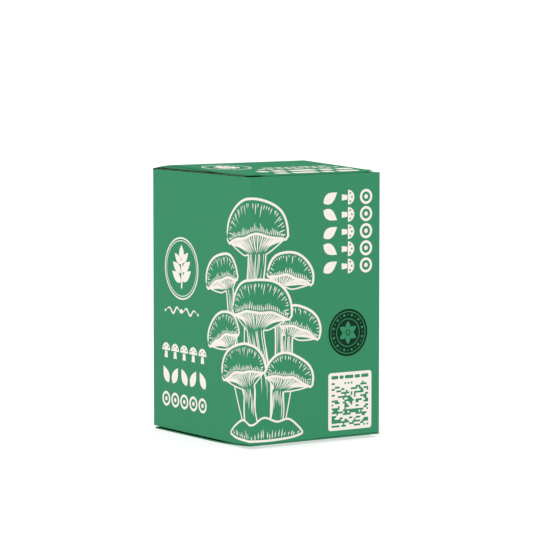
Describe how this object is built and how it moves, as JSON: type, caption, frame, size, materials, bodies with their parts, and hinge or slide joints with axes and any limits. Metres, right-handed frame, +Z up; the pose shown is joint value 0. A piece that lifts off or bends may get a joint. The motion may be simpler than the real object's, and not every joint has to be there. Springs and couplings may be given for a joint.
{
  "type": "boxed mushroom grow kit",
  "caption": "Upright rectangular printed board carton with a tuck-in lid, dust flaps and a tucked base, holding a rounded substrate block in a folded grow bag.",
  "frame": {"origin": "middle of the carton's footprint, on the surface that it stands on", "axes": "+Z is up, the carton's front panel faces -Y, and +X is to the right as seen from the front"},
  "size_m": [0.119, 0.136, 0.2069],
  "materials": {
    "printed_board": "green print with a satin coating outside, plain inside",
    "substrate": "sawdust grown through with white mycelium",
    "bag": "thin clear film, stated opaque here",
    "filter": "white non-woven filter"
  },
  "bodies": {
    "carton": {"carton_sleeve": "printed_board", "bottom_lid": "printed_board", "bottom_tuck_tongue": "printed_board", "bottom_dust_flap_left": "printed_board", "bottom_dust_flap_right": "printed_board", "substrate_block": "substrate", "bag_film": "bag", "bag_neck": "bag", "filter_patch": "filter"},
    "lid": {"top_lid": "printed_board"},
    "lid_tongue": {"top_tuck_tongue": "printed_board"},
    "left_flap": {"top_dust_flap_left": "printed_board"},
    "right_flap": {"top_dust_flap_right": "printed_board"}
  },
  "joints": [
    {"name": "lid_crease", "type": "hinge", "parent": "carton", "child": "lid", "pos_m": [0, 0.06815, 0.20145], "axis": [-1, 0, 0], "range_deg": [0, 180]},
    {"name": "tongue_crease", "type": "hinge", "parent": "lid", "child": "lid_tongue", "pos_m": [0, -0.0667, 0.2017], "axis": [-1, 0, 0], "range_deg": [0, 45]},
    {"name": "left_flap_crease", "type": "hinge", "parent": "carton", "child": "left_flap", "pos_m": [-0.0595, 0, 0.20287], "axis": [0, -1, 0], "range_deg": [0, 120]},
    {"name": "right_flap_crease", "type": "hinge", "parent": "carton", "child": "right_flap", "pos_m": [0.0595, 0, 0.20287], "axis": [0, 1, 0], "range_deg": [0, 120]}
  ],
  "couplings": [
    {"joint": "tongue_crease", "follows": "lid_crease", "ratio": 0.25},
    {"joint": "left_flap_crease", "follows": "lid_crease", "ratio": 0.66},
    {"joint": "right_flap_crease", "follows": "lid_crease", "ratio": 0.66}
  ]
}
